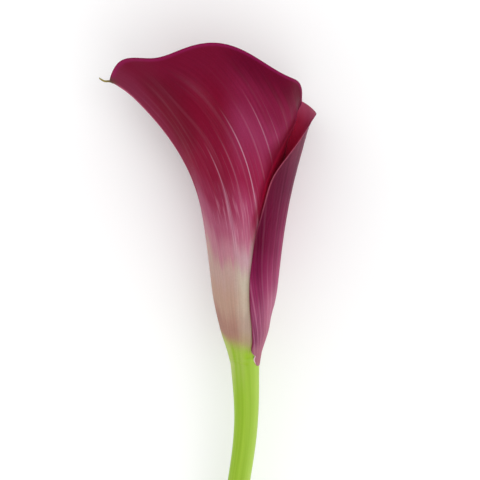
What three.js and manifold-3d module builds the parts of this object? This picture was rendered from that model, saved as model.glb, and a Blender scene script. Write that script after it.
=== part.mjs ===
// A cut calla lily lying on a flat surface: its stem, its rolled spathe and the spadix inside.
// Millimetres, +Z up. Seen from above, the flower points along +Y and its tip lies to the left, along -X.
//
// The flower is first drawn in a frame of its own: Y runs up the funnel from the spathe's foot,
// X points right and Z points up. Then it is tilted and lifted, so that the rim rests on z = 0.
import * as THREE from 'three';
import { mergeVertices } from 'three/addons/utils/BufferGeometryUtils.js';
import Module from 'manifold-3d';

const { clamp, degToRad, lerp, smoothstep } = THREE.MathUtils;

// How the flower lies
const TILT = degToRad(3.5); // the funnel's axis rises towards its mouth
const FOOT_HEIGHT = 20.3; // of the axis above the surface, at the spathe's foot

// Spathe: one blade rolled into a funnel. Its angle is counted in degrees from the midrib,
// which lies on the left. Positive angles run over the top and tuck in under the other half,
// negative angles run underneath, round the right side and end in a flap on the top.
// Its share runs from 0 at the foot to 1 at the rim.
const WALL = 0.82; // thickness of the blade
const EDGE_WALL = 0.65; // thickness at the rim
const FOOT_WALL = 0.7; // thickness at the foot
const EDGE_BULGE = 0.33; // of the rounded margin, as a share of its thickness
const TUBE = [ // height, radius of the funnel before it flares
  [-3, 4.9], [0, 5.3], [4.7, 6.45], [10, 8.2], [15.5, 9.65], [22.7, 11.2], [30, 12.2],
  [41, 13.5], [58.7, 16.3], [76.7, 20.4], [90, 23.6], [102, 26], [116, 28],
];
const RIM = [ // angle, radius, height
  [-262, 25.5, 89], [-215, 25.7, 89.5], [-180, 25.9, 90.2], [-163, 26.4, 91.8], [-146, 27.7, 94],
  [-132, 28.7, 96.2], [-118, 29, 98.4], [-100, 28.7, 101], [-75, 28.8, 104], [-50, 33.4, 106],
  [-28, 39.6, 107], [-12, 45.6, 106], [-4, 47.9, 103.2], [0, 48.6, 101.5], [4, 48, 103.7],
  [12, 45.4, 108.4], [21, 41.4, 109.5], [32, 37.2, 109.5], [46, 32.6, 112.4], [62, 30, 114.7],
  [77, 28.9, 114.3], [90, 28.6, 111.9], [104, 28.6, 108], [118, 28.6, 104.5], [132, 28.2, 102.5],
  [145, 27.4, 101.2], [157, 26.8, 98.7], [168, 26.2, 95.8], [180, 25.9, 93.2], [205, 25.5, 90.5],
];
const FLAP_MARGIN = [ // share, angle where the outer half ends
  [0, -228], [0.07, -247], [0.31, -260.5], [0.52, -252], [0.69, -241], [0.77, -232],
  [0.84, -217], [0.92, -200], [1, -178],
];
const TUCKED_MARGIN = [ // share, angle where the inner half ends
  [0, 205], [0.5, 200], [0.9, 186], [1, 179],
];
const FLARE_FROM = 0.5; // share where the funnel starts to open to its rim
const FLARE_POWER = 2.4;
const LIP_FROM = 0.93; // share where the rim starts to curl out
const LIP_REACH = 1.5;
const LIP_DROP = 0.5;
const TUCK = 1.3; // how far the inner half dips to pass under the flap
const MOUTH_TUCK = 3.7; // how much further it leaves the flap at the mouth
const FOOT_SLANT = 1.3; // the foot is higher on one side
const FOOT_SLANT_ANGLE = 145; // angle of its lowest side
const FOOT_Y = 0.3;

// Mesh of the spathe: columns between fixed angles, closest at the tip, and rows from foot to rim
const TIP_ANGLES = [-30, 40];
const COLUMNS = { outerHalf: 25, tip: 14, innerHalf: 18 };
const ROWS = { funnel: 20, lip: 4 };

// Tail: the dry thread that ends the tip
const TAIL = [ // x, y, z, radius
  [-47, 101, 0, 0.5], [-48.6, 101.6, 0, 0.48], [-50, 101.6, 0.1, 0.42],
  [-51.2, 102, 0.2, 0.36], [-52.3, 102.8, 0.3, 0.3],
];
const TAIL_SIDES = 6;

// Stem, along its own bent centre line
const STEM_END_Y = -145;
const STEM_SAG = 7.6; // how far the cut end hangs below the funnel's axis
const STEM_X = [ // y, x of the centre
  [STEM_END_Y, -18.8], [-90, -9.8], [-41.8, -1.8], [-27.7, 0.15], [-13, 0.72], [0, 0.15], [8, 0],
];
const STEM_RADIUS = [ // y, radius
  [STEM_END_Y, 3.9], [-42, 3.95], [-20, 4.2], [-13, 4.45], [-6, 4.8], [-2.5, 5.05], [0, 5.3],
];
const STEM_RINGS = 26;
const STEM_SIDES = 24;
const STEM_TOP_Y = -5; // where its rings start to slant with the spathe's foot
const SEAT_GAP = 0.3; // between pieces that touch
const NECK_RADIUS = 2.9; // of the stem inside the spathe's foot
const NECK_TOP = { y: 7.5, radius: 3.2 };

// Spadix: a cob of florets standing on the neck
const SPADIX_TOP_Y = 68;
const FEMALE_TOP_Y = 20;
const SPADIX_ROUNDING = 9; // length of the rounded tip
const FEMALE_FLORETS = { radius: 3.7, relief: 0.75, around: 7, pitch: 2.9 };
const MALE_FLORETS = { radius: 3.5, relief: 0.5, around: 9, pitch: 2.2 };

// A smooth curve through stations [place, value, ...], level with its end stations outside them.
// The value is taken from the given column.
function naturalSpline(stations, column = 1) {
  const places = stations.map((station) => station[0]);
  const values = stations.map((station) => station[column]);
  const last = places.length - 1;
  const gaps = places.slice(1).map((place, i) => place - places[i]);
  const slopes = gaps.map((gap, i) => (values[i + 1] - values[i]) / gap);
  const ratio = new Array(last + 1).fill(0);
  const bend = new Array(last + 1).fill(0);
  for (let i = 1; i < last; i++) {
    const pivot = 2 * (gaps[i - 1] + gaps[i]) - gaps[i - 1] * ratio[i - 1];
    ratio[i] = gaps[i] / pivot;
    bend[i] = (6 * (slopes[i] - slopes[i - 1]) - gaps[i - 1] * bend[i - 1]) / pivot;
  }
  for (let i = last - 1; i > 0; i--) bend[i] -= ratio[i] * bend[i + 1];
  return (place) => {
    const x = clamp(place, places[0], places[last]);
    let i = 0;
    while (i < last - 1 && x >= places[i + 1]) i++;
    const after = places[i + 1] - x;
    const before = x - places[i];
    const gap = gaps[i];
    return (bend[i] * after ** 3 + bend[i + 1] * before ** 3) / (6 * gap)
      + (values[i] / gap - (bend[i] * gap) / 6) * after
      + (values[i + 1] / gap - (bend[i + 1] * gap) / 6) * before;
  };
}

// Flower frame to the surface it lies on.
const ACROSS = new THREE.Vector3(1, 0, 0);
function lay(point) {
  point.applyAxisAngle(ACROSS, TILT);
  point.z += FOOT_HEIGHT;
  return point;
}

// Closed geometry from corner points and faces.
function geometryOf(points, faces) {
  const geometry = new THREE.BufferGeometry().setFromPoints(points);
  geometry.setIndex(faces.flat());
  return geometry;
}

// A closed body through rings of points. Seen from its last ring, each ring runs anticlockwise.
function loft(rings) {
  const sides = rings[0].length;
  const points = rings.flat();
  const faces = [];
  for (let j = 0; j < rings.length - 1; j++) {
    for (let i = 0; i < sides; i++) {
      const next = (i + 1) % sides;
      const [a, b] = [j * sides + i, j * sides + next];
      faces.push([a, b, b + sides], [a, b + sides, a + sides]);
    }
  }
  const middle = (ring) => ring.reduce((sum, p) => sum.add(p), new THREE.Vector3()).divideScalar(sides);
  const start = points.push(middle(rings[0])) - 1;
  const end = points.push(middle(rings.at(-1))) - 1;
  const lastRing = (rings.length - 1) * sides;
  for (let i = 0; i < sides; i++) {
    const next = (i + 1) % sides;
    faces.push([start, next, i], [end, lastRing + i, lastRing + next]);
  }
  return geometryOf(points, faces);
}

// A closed sheet from two faces of points on the same columns and rows, with a rounded edge.
function closedSheet(outer, inner) {
  const columns = outer.length;
  const rows = outer[0].length;
  const points = [...outer.flat(), ...inner.flat()];
  const outerAt = (i, j) => i * rows + j;
  const innerAt = (i, j) => (columns + i) * rows + j;
  const faces = [];
  for (let i = 0; i < columns - 1; i++) {
    for (let j = 0; j < rows - 1; j++) {
      const corners = [[i, j], [i + 1, j], [i + 1, j + 1], [i, j + 1]];
      const [a, b, c, d] = corners.map((corner) => outerAt(...corner));
      faces.push([a, b, c], [a, c, d]);
      const [e, f, g, h] = corners.map((corner) => innerAt(...corner));
      faces.push([g, f, e], [h, g, e]);
    }
  }
  const border = [];
  for (let i = 0; i < columns - 1; i++) border.push([i, 0]);
  for (let j = 0; j < rows - 1; j++) border.push([columns - 1, j]);
  for (let i = columns - 1; i > 0; i--) border.push([i, rows - 1]);
  for (let j = rows - 1; j > 0; j--) border.push([0, j]);
  const crests = border.map(([i, j]) => {
    const [edge, back] = [outer[i][j], inner[i][j]];
    const inward = outer[clamp(i, 1, columns - 2)][clamp(j, 1, rows - 2)];
    const bulge = j === 0 ? 0 : edge.distanceTo(back) * EDGE_BULGE;
    const crest = edge.clone().sub(inward).setLength(bulge).add(edge.clone().lerp(back, 0.5));
    crest.z = Math.max(crest.z, Math.min(edge.z, back.z));
    return points.push(crest) - 1;
  });
  border.forEach(([i, j], k) => {
    const next = (k + 1) % border.length;
    const [edge, nextEdge] = [outerAt(i, j), outerAt(...border[next])];
    const [back, nextBack] = [innerAt(i, j), innerAt(...border[next])];
    faces.push([edge, crests[k], crests[next]], [edge, crests[next], nextEdge]);
    faces.push([crests[k], back, nextBack], [crests[k], nextBack, crests[next]]);
  });
  return geometryOf(points, faces);
}

const wasm = await Module();
wasm.setup();

function solidOf(geometry) {
  const merged = mergeVertices(geometry);
  return new wasm.Manifold(new wasm.Mesh({
    numProp: 3,
    vertProperties: new Float32Array(merged.attributes.position.array),
    triVerts: new Uint32Array(merged.index.array),
  }));
}

function fuse(...geometries) {
  const mesh = wasm.Manifold.union(geometries.map(solidOf)).getMesh();
  const geometry = new THREE.BufferGeometry();
  geometry.setAttribute('position', new THREE.BufferAttribute(mesh.vertProperties, 3));
  geometry.setIndex(new THREE.BufferAttribute(mesh.triVerts, 1));
  return geometry;
}

// Spathe
const tubeRadius = naturalSpline(TUBE);
const rimRadius = naturalSpline(RIM, 1);
const rimHeight = naturalSpline(RIM, 2);
const flapMargin = naturalSpline(FLAP_MARGIN);
const tuckedMargin = naturalSpline(TUCKED_MARGIN);

function footHeight(angle) {
  return FOOT_Y - FOOT_SLANT * Math.cos(degToRad(angle - FOOT_SLANT_ANGLE));
}

// The inner half stays flush with the outer one until it nears the flap's margin, then dips under it.
function tuckDepth(angle, share) {
  const margin = flapMargin(share) + 360;
  const run = lerp(40, 80, smoothstep(share, 0, 0.2));
  return TUCK * smoothstep(angle, margin - run, margin)
    + MOUTH_TUCK * smoothstep(share, 0.5, 0.92) * smoothstep(angle, 75, 180);
}

function blade(angle, share) {
  const foot = footHeight(angle);
  const rim = rimHeight(angle);
  const lip = Math.max(0, (share - LIP_FROM) / (1 - LIP_FROM)) ** 2;
  const y = lerp(foot, rim + LIP_DROP, share) - LIP_DROP * lip;
  const flare = Math.max(0, (share - FLARE_FROM) / (1 - FLARE_FROM)) ** FLARE_POWER;
  const radius = tubeRadius(y) + (rimRadius(angle) - LIP_REACH - tubeRadius(rim)) * flare
    + LIP_REACH * lip - tuckDepth(angle, share);
  const around = degToRad(angle - 90);
  return lay(new THREE.Vector3(radius * Math.sin(around), y, radius * Math.cos(around)));
}

function bladeThickness(share) {
  return lerp(lerp(FOOT_WALL, WALL, smoothstep(share, 0, 0.1)), EDGE_WALL, smoothstep(share, 0.6, 1));
}

// Outer and inner corner of the blade. The part that would reach through the surface is pressed flat.
function bladePoints(angle, share) {
  const step = 0.001;
  const outer = blade(angle, share);
  const along = blade(angle + step, share).sub(blade(angle - step, share));
  const up = blade(angle, Math.min(1, share + step)).sub(blade(angle, share - step));
  const thickness = bladeThickness(share);
  const inner = outer.clone().addScaledVector(along.cross(up).normalize(), -thickness);
  outer.z = Math.max(outer.z, 0);
  inner.z = Math.max(inner.z, thickness);
  return [outer, inner];
}

function columnAngle(column, share) {
  const [from, to] = TIP_ANGLES;
  if (column <= COLUMNS.outerHalf) return lerp(flapMargin(share), from, column / COLUMNS.outerHalf);
  const tipColumn = column - COLUMNS.outerHalf;
  if (tipColumn <= COLUMNS.tip) return lerp(from, to, tipColumn / COLUMNS.tip);
  return lerp(to, tuckedMargin(share), (tipColumn - COLUMNS.tip) / COLUMNS.innerHalf);
}

function rowShare(row) {
  if (row <= ROWS.funnel) return (LIP_FROM * row) / ROWS.funnel;
  return lerp(LIP_FROM, 1, (row - ROWS.funnel) / ROWS.lip);
}

function spatheGeometry() {
  const outer = [];
  const inner = [];
  const columns = COLUMNS.outerHalf + COLUMNS.tip + COLUMNS.innerHalf;
  for (let column = 0; column <= columns; column++) {
    const pairs = [];
    for (let row = 0; row <= ROWS.funnel + ROWS.lip; row++) {
      const share = rowShare(row);
      pairs.push(bladePoints(columnAngle(column, share), share));
    }
    outer.push(pairs.map((pair) => pair[0]));
    inner.push(pairs.map((pair) => pair[1]));
  }
  return fuse(closedSheet(outer, inner), tailGeometry());
}

function tailGeometry() {
  const stations = TAIL.map(([x, y, z]) => new THREE.Vector3(x, y, z));
  const rings = TAIL.map(([, , , radius], k) => {
    const ahead = stations[Math.min(k + 1, TAIL.length - 1)];
    const behind = stations[Math.max(k - 1, 0)];
    const direction = ahead.clone().sub(behind).normalize();
    return ringAt(stations[k], direction, radius, TAIL_SIDES);
  });
  return loft(rings);
}

// A ring of points square to a direction.
function ringAt(centre, direction, radius, sides) {
  const turn = new THREE.Quaternion().setFromUnitVectors(new THREE.Vector3(0, 1, 0), direction);
  const ring = [];
  for (let i = 0; i < sides; i++) {
    const around = (2 * Math.PI * i) / sides;
    const spoke = new THREE.Vector3(radius * Math.sin(around), 0, radius * Math.cos(around));
    ring.push(lay(spoke.applyQuaternion(turn).add(centre)));
  }
  return ring;
}

// Stem
const stemX = naturalSpline(STEM_X);
const stemRadius = naturalSpline(STEM_RADIUS);

function stemCentre(y) {
  const sag = y < 0 ? STEM_SAG * (y / STEM_END_Y) ** 2 : 0;
  return new THREE.Vector3(stemX(y), y, -sag);
}

// A level ring whose height follows a share of the foot's slant.
function slantedRing(y, radiusAt, slant) {
  const ring = [];
  for (let i = 0; i < STEM_SIDES; i++) {
    const around = (2 * Math.PI * i) / STEM_SIDES;
    const angle = 90 + (360 * i) / STEM_SIDES;
    const rise = slant * (footHeight(angle) - FOOT_Y);
    const radius = radiusAt(angle);
    const spoke = new THREE.Vector3(radius * Math.sin(around), rise, radius * Math.cos(around));
    ring.push(lay(spoke.add(stemCentre(y))));
  }
  return ring;
}

function stemGeometry() {
  const rings = [];
  for (let k = 0; k < STEM_RINGS; k++) {
    const y = lerp(STEM_END_Y, STEM_TOP_Y, k / (STEM_RINGS - 1));
    const direction = stemCentre(y + 0.5).sub(stemCentre(y - 0.5)).normalize();
    rings.push(ringAt(stemCentre(y), direction, stemRadius(y), STEM_SIDES));
  }
  const shoulder = FOOT_Y - SEAT_GAP;
  const belowShoulder = STEM_TOP_Y / 2;
  rings.push(slantedRing(belowShoulder, () => stemRadius(belowShoulder), 0.5));
  rings.push(slantedRing(shoulder, (angle) => tubeRadius(footHeight(angle)), 1));
  rings.push(slantedRing(shoulder, () => NECK_RADIUS, 1));
  rings.push(slantedRing(NECK_TOP.y / 2, () => NECK_RADIUS, 0.5));
  rings.push(slantedRing(NECK_TOP.y, () => NECK_TOP.radius, 0));
  return loft(rings);
}

// Part of the cob between two heights, with a floret raised at every second corner of every second ring.
function cob(fromY, toY, florets, tipRounding) {
  const sides = 2 * florets.around;
  const ringCount = 2 * Math.round((toY - fromY) / florets.pitch) + 1;
  const rings = [];
  for (let k = 0; k < ringCount; k++) {
    const y = lerp(fromY, toY, k / (ringCount - 1));
    const left = Math.max(0, 1 - (toY - y) / tipRounding);
    const taper = Math.sqrt(1 - (0.95 * left) ** 2);
    const ring = [];
    for (let i = 0; i < sides; i++) {
      const raised = k % 2 === 1 && i % 2 === ((k - 1) / 2) % 2;
      const radius = taper * (florets.radius - (raised ? 0 : florets.relief));
      const around = (2 * Math.PI * i) / sides;
      ring.push(lay(new THREE.Vector3(radius * Math.sin(around), y, radius * Math.cos(around))));
    }
    rings.push(ring);
  }
  return loft(rings);
}

function addPiece(group, name, geometry, color, roughness) {
  geometry.computeVertexNormals();
  const material = new THREE.MeshStandardMaterial({ name, color, roughness, metalness: 0 });
  const mesh = new THREE.Mesh(geometry, material);
  mesh.name = name;
  group.add(mesh);
}

const flower = new THREE.Group();
addPiece(flower, 'stem', stemGeometry(), 0x93b731, 0.45);
addPiece(flower, 'spathe', spatheGeometry(), 0x7d1936, 0.4);
addPiece(
  flower,
  'spadix_female_flowers',
  cob(NECK_TOP.y + SEAT_GAP, FEMALE_TOP_Y, FEMALE_FLORETS, 0.01),
  0xb9c47a,
  0.5,
);
addPiece(
  flower,
  'spadix_male_flowers',
  cob(FEMALE_TOP_Y + SEAT_GAP, SPADIX_TOP_Y, MALE_FLORETS, SPADIX_ROUNDING),
  0xe2b23c,
  0.7,
);

// The origin is under the middle of the flower, on the surface it lies on.
const extent = new THREE.Box3().setFromObject(flower);
const middle = extent.getCenter(new THREE.Vector3());
flower.position.set(-middle.x, -middle.y, -extent.min.z);

export default flower;
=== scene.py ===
"""The looks of a cut calla lily that lies on a pale surface, seen from above.

The flower is drawn in a frame of its own, in millimetres, as its solids are: Y runs up the funnel from the
spathe's foot, X points right and Z points up. A Lie tilts it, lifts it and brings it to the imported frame.
"""

import logging
import math
from collections.abc import Callable, Iterator, Sequence
from contextlib import contextmanager
from dataclasses import dataclass
from enum import Enum
from functools import reduce
from operator import add, mul

import bpy
import numpy as np
from mathutils import Matrix, Vector


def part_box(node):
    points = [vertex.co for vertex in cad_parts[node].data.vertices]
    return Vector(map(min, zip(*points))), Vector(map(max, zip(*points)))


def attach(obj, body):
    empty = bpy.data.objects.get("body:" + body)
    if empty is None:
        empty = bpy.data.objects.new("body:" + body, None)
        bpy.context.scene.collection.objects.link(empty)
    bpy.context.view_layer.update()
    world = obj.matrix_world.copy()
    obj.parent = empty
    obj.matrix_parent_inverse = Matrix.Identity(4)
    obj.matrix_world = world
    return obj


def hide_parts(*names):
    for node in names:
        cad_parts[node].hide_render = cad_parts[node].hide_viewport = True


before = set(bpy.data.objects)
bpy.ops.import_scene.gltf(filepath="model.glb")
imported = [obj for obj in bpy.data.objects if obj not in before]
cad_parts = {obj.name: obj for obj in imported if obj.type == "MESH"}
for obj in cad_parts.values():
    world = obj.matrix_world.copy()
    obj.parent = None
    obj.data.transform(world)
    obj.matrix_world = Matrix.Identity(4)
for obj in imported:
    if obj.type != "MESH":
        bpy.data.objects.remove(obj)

log = logging.getLogger("calla_lily")

Array = np.ndarray
Stations = tuple[tuple[float, ...], ...]
Range = tuple[float, ...]
Rgb = tuple[int, int, int]
Rgba = tuple[float, float, float, float]
Stops = tuple[tuple[float, Rgb], ...]
Shape = Callable[[Array, Array], Array]

MM = 0.001
MERGE_WITHIN = 0.001 * MM
COB_JOINT = 20.3  # where the male flowers start, above the spathe's foot


class Face(Enum):
    """Which finish a face of the spathe takes, as its material slot."""

    OUTSIDE = 0
    INSIDE = 1
    EDGE = 2


class End(Enum):
    """An end of a tube that runs along Y."""

    LOW = -1
    HIGH = 1


def linear(colour: Rgb) -> Rgba:
    """Turn a screen colour into the linear colour that a shader takes.

    Args:
        colour: Red, green and blue from 0 to 255.

    Returns:
        Linear red, green and blue from 0 to 1, and an alpha of 1.
    """
    parts = [part / 255 for part in colour]
    light = [p / 12.92 if p <= 0.04045 else ((p + 0.055) / 1.055) ** 2.4 for p in parts]
    return (light[0], light[1], light[2], 1.0)


def smoothstep(start: float | Array, end: float | Array, value: Array) -> Array:
    """Rise smoothly from 0 at start to 1 at end."""
    t = np.clip((value - start) / (end - start), 0, 1)
    return t * t * (3 - 2 * t)


def within(span: Range, value: Array) -> Array:
    """Rise smoothly from 0 to 1 between two numbers, and fall back between two more where there are four."""
    rising = smoothstep(*span[:2], value)
    return rising if len(span) == 2 else rising * (1 - smoothstep(*span[2:], value))


def between(low: float, high: float, part: Array) -> Array:
    """Return the number that lies a part of the way from low to high."""
    return low + (high - low) * part


class Spline:
    """A natural cubic spline through given stations, level outside them."""

    def __init__(self, stations: Stations, column: int = 1) -> None:
        """Fit the spline.

        Args:
            stations: Rows of a place and its values, in order of place.
            column: Which value of each row the spline gives.
        """
        self.places = np.array([row[0] for row in stations], float)
        self.values = np.array([row[column] for row in stations], float)
        self.gaps = np.diff(self.places)
        self.bends = self._bends()

    def _bends(self) -> Array:
        """Work out how the spline bends at its stations.

        Returns:
            The second derivative at each, zero at both ends.
        """
        count = len(self.places)
        matrix = np.eye(count)
        target = np.zeros(count)
        slopes = np.diff(self.values) / self.gaps
        for i in range(1, count - 1):
            before, after = self.gaps[i - 1], self.gaps[i]
            matrix[i, i - 1 : i + 2] = before, 2 * (before + after), after
            target[i] = 6 * (slopes[i] - slopes[i - 1])
        return np.linalg.solve(matrix, target)

    def __call__(self, place: float | Array) -> Array:
        """Read the spline.

        Args:
            place: One place, or an array of them.

        Returns:
            The value at each.
        """
        x = np.clip(place, self.places[0], self.places[-1])
        i = np.clip(np.searchsorted(self.places, x, side="right") - 1, 0, len(self.gaps) - 1)
        gap = self.gaps[i]
        after = self.places[i + 1] - x
        before = x - self.places[i]
        curve = (self.bends[i] * after**3 + self.bends[i + 1] * before**3) / (6 * gap)
        start = (self.values[i] / gap - self.bends[i] * gap / 6) * after
        end = (self.values[i + 1] / gap - self.bends[i + 1] * gap / 6) * before
        return curve + start + end


@dataclass(frozen=True)
class Lie:
    """How the flower lies: its funnel rises a little towards the mouth, above the surface at z = 0."""

    tilt: float = math.radians(3.5)
    foot_height: float = 20.3
    shift: tuple[float, float] = (0.0, 0.0)

    @classmethod
    def in_frame(cls, cob_radius: float = 3.0) -> "Lie":
        """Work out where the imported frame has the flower, from the upper part of its spadix.

        Args:
            cob_radius: That part's radius at its lower end.

        Returns:
            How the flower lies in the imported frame.
        """
        low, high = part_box("spadix_male_flowers")
        plain = cls()
        start = COB_JOINT * math.cos(plain.tilt) - cob_radius * math.sin(plain.tilt)
        return cls(shift=((low.x + high.x) / 2 / MM, low.y / MM - start))

    def place(self, points: Array) -> Array:
        """Bring points from the flower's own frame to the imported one.

        Args:
            points: Places in millimetres, the last axis being x, y and z.

        Returns:
            The same places in metres.
        """
        x, y, z = points[..., 0], points[..., 1], points[..., 2]
        cos, sin = math.cos(self.tilt), math.sin(self.tilt)
        laid = (x + self.shift[0], y * cos - z * sin + self.shift[1], y * sin + z * cos + self.foot_height)
        return np.stack(laid, axis=-1) * MM


def spoke(radius: Array, around: Array, y: Array) -> Array:
    """Return points at a radius from the funnel's axis, turned from the top towards the right."""
    return np.stack((radius * np.sin(around), y + 0 * radius, radius * np.cos(around)), axis=-1)


def deselect() -> None:
    """Leave no object selected, so that an operator acts only on what comes next."""
    bpy.ops.object.select_all(action="DESELECT")


def added(operator: Callable[..., set[str]], name: str, **settings: object) -> bpy.types.Object:
    """Add an object, with nothing else selected.

    Args:
        operator: The operator that adds it.
        name: Its name.
        **settings: What the operator takes.

    Returns:
        The new object.
    """
    deselect()
    operator(**settings)
    piece = bpy.context.active_object
    piece.name = name
    return piece


@contextmanager
def editing(piece: bpy.types.Object) -> Iterator[None]:
    """Hold a piece in edit mode.

    Args:
        piece: The piece, which becomes the active object.

    Returns:
        A context, at whose end the piece is back in object mode.
    """
    bpy.context.view_layer.objects.active = piece
    bpy.ops.object.mode_set(mode="EDIT")
    yield
    bpy.ops.object.mode_set(mode="OBJECT")


def wrapped_grid(
    name: str, columns: int, rows: int, shape: Shape, marks: dict[str, Shape], closed: bool = False
) -> bpy.types.Object:
    """Wrap a flat grid over a shape.

    Args:
        name: The new piece's name.
        columns: Strips of the grid, along u.
        rows: Strips of the grid, along v.
        shape: Gives places in metres from u and v, both from 0 to 1.
        marks: Point attributes to store for the finish, each worked out from u and v.
        closed: Whether the last column meets the first, so that their points are merged.

    Returns:
        The new piece, its object at the origin.
    """
    piece = added(bpy.ops.mesh.primitive_grid_add, name, x_subdivisions=columns, y_subdivisions=rows, size=1)
    mesh = piece.data
    mesh.name = name
    flat = np.empty(3 * len(mesh.vertices))
    mesh.vertices.foreach_get("co", flat)
    u, v = flat.reshape(-1, 3)[:, 0] + 0.5, flat.reshape(-1, 3)[:, 1] + 0.5
    mesh.vertices.foreach_set("co", shape(u, v).ravel())
    for mark, value in marks.items():
        mesh.attributes.new(mark, "FLOAT", "POINT").data.foreach_set("value", value(u, v))
    mesh.update()
    if closed:
        with editing(piece):
            bpy.ops.mesh.select_all(action="SELECT")
            bpy.ops.mesh.remove_doubles(threshold=MERGE_WITHIN)
    bpy.ops.object.shade_smooth()
    return piece


@dataclass
class Blade:
    """The spathe's blade: where each point of it lies.

    An angle is counted in degrees from the midrib, on the left. Positive ones run over the top and tuck in
    under the other half. Negative ones run underneath, round the right side and end in a flap on the top.
    A share runs from 0 at the foot to 1 at the rim. A range says between which numbers something sets in,
    and between which it fades again where there are four.
    """

    tube: Stations = (
        (-3, 4.9), (0, 5.3), (4.7, 6.45), (10, 8.2), (15.5, 9.65), (22.7, 11.2), (30, 12.2),
        (41, 13.5), (58.7, 16.3), (76.7, 20.4), (90, 23.6), (102, 26), (116, 28),
    )
    rim: Stations = (
        (-262, 25.5, 88.8), (-215, 25.7, 89.1), (-180, 25.9, 89.6), (-163, 26.4, 90.9), (-146, 27.7, 92.8),
        (-132, 28.7, 94.9), (-118, 29, 97.6), (-100, 28.7, 100.8), (-75, 28.8, 104), (-50, 33.4, 106),
        (-28, 39.6, 107), (-12, 45.6, 106), (-4, 47.9, 103.2), (0, 48.6, 101.5), (4, 48, 103.7),
        (12, 45.4, 108.4), (21, 41.4, 109.5), (32, 37.2, 109.5), (46, 32.6, 112.4), (62, 30, 114.7),
        (77, 28.9, 114.3), (90, 28.6, 111.9), (104, 28.6, 108), (118, 28.6, 104.5), (132, 28.2, 102.5),
        (145, 27.4, 101.2), (157, 26.8, 98.7), (168, 26.2, 95.8), (180, 25.9, 93.2), (205, 25.5, 90.5),
    )
    flap_margin: Stations = (
        (0, -214), (0.01, -226), (0.0226, -234.4), (0.034, -234), (0.042, -232), (0.048, -239.5),
        (0.056, -246), (0.08, -247.5), (0.12, -250.5), (0.16, -254), (0.2, -257.6), (0.25, -260.4),
        (0.31, -261.9), (0.4, -259.3), (0.5, -255), (0.6, -247.8), (0.7, -241.4), (0.77, -234.5),
        (0.8, -229), (0.85, -218), (0.92, -200.5), (1, -178),
    )
    tucked_margin: Stations = ((0, 205), (0.5, 200), (0.9, 186), (1, 179))
    flare_from: float = 0.5
    flare_power: float = 2.4
    lip_from: float = 0.93
    lip_reach: float = 1.5
    lip_drop: float = 0.5
    tuck: float = 0.55
    tuck_run: float = 40
    tuck_widens: Range = (0, 0.2)
    tuck_along: Range = (-0.02, 0.06)
    deeper_tuck: float = 0.75
    deeper_run: float = 25
    mouth_tuck: float = 4.8
    mouth_steps: tuple[tuple[float, Range], ...] = ((0.7, (0.5, 0.88)), (0.3, (0.9, 1)))
    mouth_turn: Range = (75, 180)
    flap_top: float = 89.4
    shade_dip: float = 1.1
    shade_along: Range = (0.42, 0.86, 0.88, 0.97)
    shade_near: Range = (-1.0, 0.1)
    shade_run: float = 9
    shade_run_above: float = 23
    shade_widens: Range = (0.74, 0.88)
    lobe_lift: float = 0.3
    lobe_along: Range = (0.01, 0.07)
    lobe_turn: Range = (138, 185)
    foot_slant: float = 1.3
    foot_slant_angle: float = 145
    foot_y: float = 0.3
    wall: float = 0.82
    rim_wall: float = 0.55
    rim_thins: Range = (0.6, 1)
    foot_wall: float = 0.3
    foot_thickens: Range = (0, 0.08)
    margin_wall: float = 0.5
    margin_run: float = 4
    rib_pitch: float = 11
    rib_height: float = 0.06
    rib_along: Range = (0.02, 0.12, 0.6, 0.85)
    rib_turn: Range = (150, 190)
    rib_faint: float = 0.2
    dent: float = 0.36
    dent_angle: float = 184
    dent_facing: Range = (0.6, 1)
    dent_share: float = 0.2
    dent_run: float = 0.042
    fan_from: float = 0.45
    fan: float = -270

    def __post_init__(self) -> None:
        """Fit the splines."""
        self.tube_radius = Spline(self.tube)
        self.rim_radius = Spline(self.rim, 1)
        self.rim_height = Spline(self.rim, 2)
        self.flap_angle = Spline(self.flap_margin)
        self.tucked_angle = Spline(self.tucked_margin)

    def foot_height(self, angle: Array) -> Array:
        """Return the height of the slanting foot at an angle."""
        return self.foot_y - self.foot_slant * np.cos(np.radians(angle - self.foot_slant_angle))

    def lip(self, share: Array) -> Array:
        """Return how far a point is into the lip that rolls outwards at the rim."""
        return np.maximum(0, (share - self.lip_from) / (1 - self.lip_from)) ** 2

    def height(self, angle: Array, share: Array) -> Array:
        """Return the height of a point above the foot."""
        foot, drop = self.foot_height(angle), self.lip_drop
        return foot + (self.rim_height(angle) + drop - foot) * share - drop * self.lip(share)

    def in_shade(self, angle: Array, share: Array) -> Array:
        """Work out how far points are in the shade beside the flap.

        Args:
            angle: Their angles, in degrees.
            share: Their shares of the way to the rim.

        Returns:
            Numbers that are -1 where the shade starts and 0 at the flap.
        """
        beside = np.clip(self.height(angle, share) / self.flap_top, 0, 1)
        run = between(self.shade_run, self.shade_run_above, within(self.shade_widens, beside))
        return (angle - self.flap_angle(beside) - 360) / run

    def tuck_depth(self, angle: Array, share: Array) -> Array:
        """Work out how far the inner half has dipped to pass under the flap.

        Args:
            angle: The points' angles, in degrees.
            share: Their shares of the way to the rim.

        Returns:
            Depths in millimetres.
        """
        margin = self.flap_angle(share) + 360
        run = self.tuck_run + self.tuck_run * within(self.tuck_widens, share)
        depth = self.tuck * smoothstep(margin - run, margin, angle)
        depth = depth + self.deeper_tuck * smoothstep(margin, margin + self.deeper_run, angle)
        into_mouth = sum(part * within(span, share) for part, span in self.mouth_steps)
        into_mouth = self.mouth_tuck * into_mouth * within(self.mouth_turn, angle)
        dip = self.shade_dip * within(self.shade_along, self.height(angle, share) / self.flap_top)
        dip = dip * within(self.shade_near, self.in_shade(angle, share))
        return depth * within(self.tuck_along, share) + into_mouth + dip

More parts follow.
